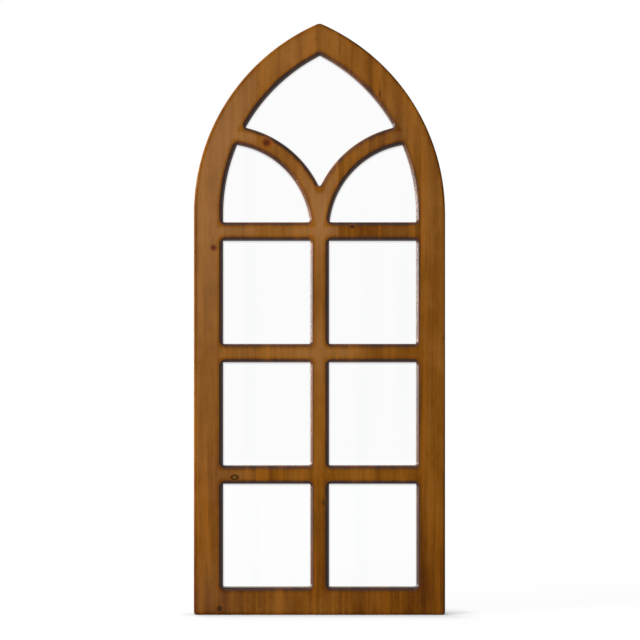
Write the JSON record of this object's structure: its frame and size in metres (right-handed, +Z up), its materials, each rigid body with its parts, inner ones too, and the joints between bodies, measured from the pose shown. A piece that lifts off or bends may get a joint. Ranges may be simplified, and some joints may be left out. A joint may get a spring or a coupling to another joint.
{
  "type": "arched window mirror",
  "caption": "Wall mirror behind a flat stained-wood lattice shaped as a pointed gothic window, with curved tracery, turn buttons and ring hangers on its back.",
  "frame": {"origin": "on the back face of the wooden frame, in the middle of its bottom edge", "axes": "+Z up along the frame, +Y backwards into the wall, +X to the right of someone who looks into the mirror"},
  "size_m": [0.432, 0.023, 1.016],
  "materials": {
    "stained_wood": "brown stain under satin lacquer, grain upright",
    "mirror": "silvered float glass",
    "hardboard": "pressed brown hardboard, smooth side out",
    "zinc_steel": "bright zinc plate",
    "rubber": "matte"
  },
  "bodies": {
    "frame": {"left_board": "stained_wood", "middle_board": "stained_wood", "tip_board": "stained_wood", "right_board": "stained_wood", "right_edge_board": "stained_wood", "mirror_sheet": "mirror", "backing_board": "hardboard", "turn_button_screws": "zinc_steel", "ring_strap_left": "zinc_steel", "ring_strap_right": "zinc_steel", "ring_strap_screws": "zinc_steel", "wall_bumpers": "rubber"},
    "turn_button_left_low": {"turn_button_left_low": "zinc_steel"},
    "turn_button_left_middle": {"turn_button_left_middle": "zinc_steel"},
    "turn_button_left_high": {"turn_button_left_high": "zinc_steel"},
    "turn_button_right_low": {"turn_button_right_low": "zinc_steel"},
    "turn_button_right_middle": {"turn_button_right_middle": "zinc_steel"},
    "turn_button_right_high": {"turn_button_right_high": "zinc_steel"},
    "turn_button_bottom_left": {"turn_button_bottom_left": "zinc_steel"},
    "turn_button_bottom_right": {"turn_button_bottom_right": "zinc_steel"},
    "turn_button_arch_left": {"turn_button_arch_left": "zinc_steel"},
    "turn_button_arch_right": {"turn_button_arch_right": "zinc_steel"},
    "hanging_ring_left": {"hanging_ring_left": "zinc_steel"},
    "hanging_ring_right": {"hanging_ring_right": "zinc_steel"}
  },
  "joints": [
    {"name": "turn_button_left_low_turn", "type": "hinge", "parent": "frame", "child": "turn_button_left_low", "pos_m": [-0.187, 0.00065, 0.15417], "axis": [0, 1, 0], "continuous": true},
    {"name": "turn_button_left_middle_turn", "type": "hinge", "parent": "frame", "child": "turn_button_left_middle", "pos_m": [-0.187, 0.00065, 0.3685], "axis": [0, 1, 0], "continuous": true},
    {"name": "turn_button_left_high_turn", "type": "hinge", "parent": "frame", "child": "turn_button_left_high", "pos_m": [-0.187, 0.00065, 0.58283], "axis": [0, 1, 0], "continuous": true},
    {"name": "turn_button_right_low_turn", "type": "hinge", "parent": "frame", "child": "turn_button_right_low", "pos_m": [0.187, 0.00065, 0.15417], "axis": [0, 1, 0], "continuous": true},
    {"name": "turn_button_right_middle_turn", "type": "hinge", "parent": "frame", "child": "turn_button_right_middle", "pos_m": [0.187, 0.00065, 0.3685], "axis": [0, 1, 0], "continuous": true},
    {"name": "turn_button_right_high_turn", "type": "hinge", "parent": "frame", "child": "turn_button_right_high", "pos_m": [0.187, 0.00065, 0.58283], "axis": [0, 1, 0], "continuous": true},
    {"name": "turn_button_bottom_left_turn", "type": "hinge", "parent": "frame", "child": "turn_button_bottom_left", "pos_m": [-0.125, 0.00065, 0.027], "axis": [0, 1, 0], "continuous": true},
    {"name": "turn_button_bottom_right_turn", "type": "hinge", "parent": "frame", "child": "turn_button_bottom_right", "pos_m": [0.125, 0.00065, 0.027], "axis": [0, 1, 0], "continuous": true},
    {"name": "turn_button_arch_left_turn", "type": "hinge", "parent": "frame", "child": "turn_button_arch_left", "pos_m": [-0.11775, 0.00065, 0.89111], "axis": [0, 1, 0], "continuous": true},
    {"name": "turn_button_arch_right_turn", "type": "hinge", "parent": "frame", "child": "turn_button_arch_right", "pos_m": [0.11775, 0.00065, 0.89111], "axis": [0, 1, 0], "continuous": true},
    {"name": "hanging_ring_left_swing", "type": "hinge", "parent": "frame", "child": "hanging_ring_left", "pos_m": [-0.1975, 0.00235, 0.67], "axis": [-1, 0, 0], "range_deg": [0, 175]},
    {"name": "hanging_ring_right_swing", "type": "hinge", "parent": "frame", "child": "hanging_ring_right", "pos_m": [0.1975, 0.00235, 0.67], "axis": [-1, 0, 0], "range_deg": [0, 175]}
  ]
}
